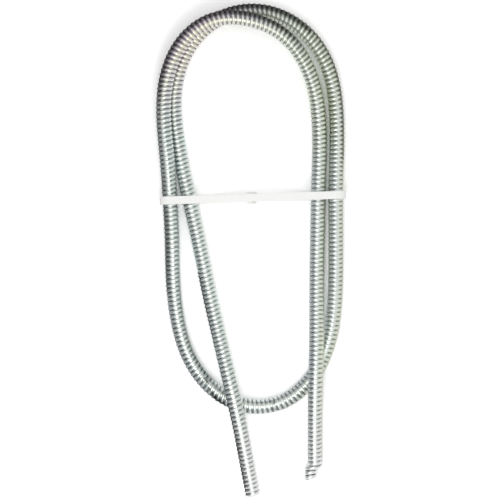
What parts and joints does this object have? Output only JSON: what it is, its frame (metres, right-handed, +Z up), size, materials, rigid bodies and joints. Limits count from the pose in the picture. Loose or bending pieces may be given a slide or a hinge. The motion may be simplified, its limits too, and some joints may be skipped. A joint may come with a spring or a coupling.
{
  "type": "drain auger",
  "caption": "Closely wound spring cable for clearing drains, coiled into a tall hank and held by a nylon tie, with a plain drive end and a pigtail hook.",
  "frame": {"origin": "middle of the hank's footprint, on the surface that it lies on", "axes": "+Y along the hank's length, away from the drive end and the hook; +Z up, square to the surface; +X towards the hook's side"},
  "size_m": [0.1159, 0.3025, 0.0196],
  "materials": {
    "cable_steel": "bright zinc-plated spring wire, satin",
    "tie_nylon": "natural nylon, slightly glossy"
  },
  "bodies": {
    "hank": {"outer_turn": "cable_steel", "lower_loop": "cable_steel", "front_turn": "cable_steel", "inner_turn": "cable_steel", "tie_strap": "tie_nylon", "tie_head": "tie_nylon"},
    "drive_tail": {"drive_end": "cable_steel", "drive_tail": "cable_steel"},
    "hook_tail": {"hook_tail": "cable_steel", "hook_coils": "cable_steel", "pigtail_hook": "cable_steel"},
    "pawl": {"tie_pawl": "tie_nylon"}
  },
  "joints": [
    {"name": "drive_tail_flex", "type": "hinge", "parent": "hank", "child": "drive_tail", "pos_m": [-0.02901, -0.008, 0.01115], "axis": [-0.9792, -0.2027, 0], "range_deg": [0, 25], "stiffness_Nm_per_rad": 0.3},
    {"name": "hook_tail_flex", "type": "hinge", "parent": "hank", "child": "hook_tail", "pos_m": [0.04032, -0.0088, 0.0114], "axis": [-0.9999, 0.0149, 0], "range_deg": [0, 25], "stiffness_Nm_per_rad": 0.3},
    {"name": "pawl_flex", "type": "hinge", "parent": "hank", "child": "pawl", "pos_m": [-0.0001, 0.0322, 0.0036], "axis": [-0.0323, 0.9995, 0], "range_deg": [0, 12], "stiffness_Nm_per_rad": 0.02}
  ]
}
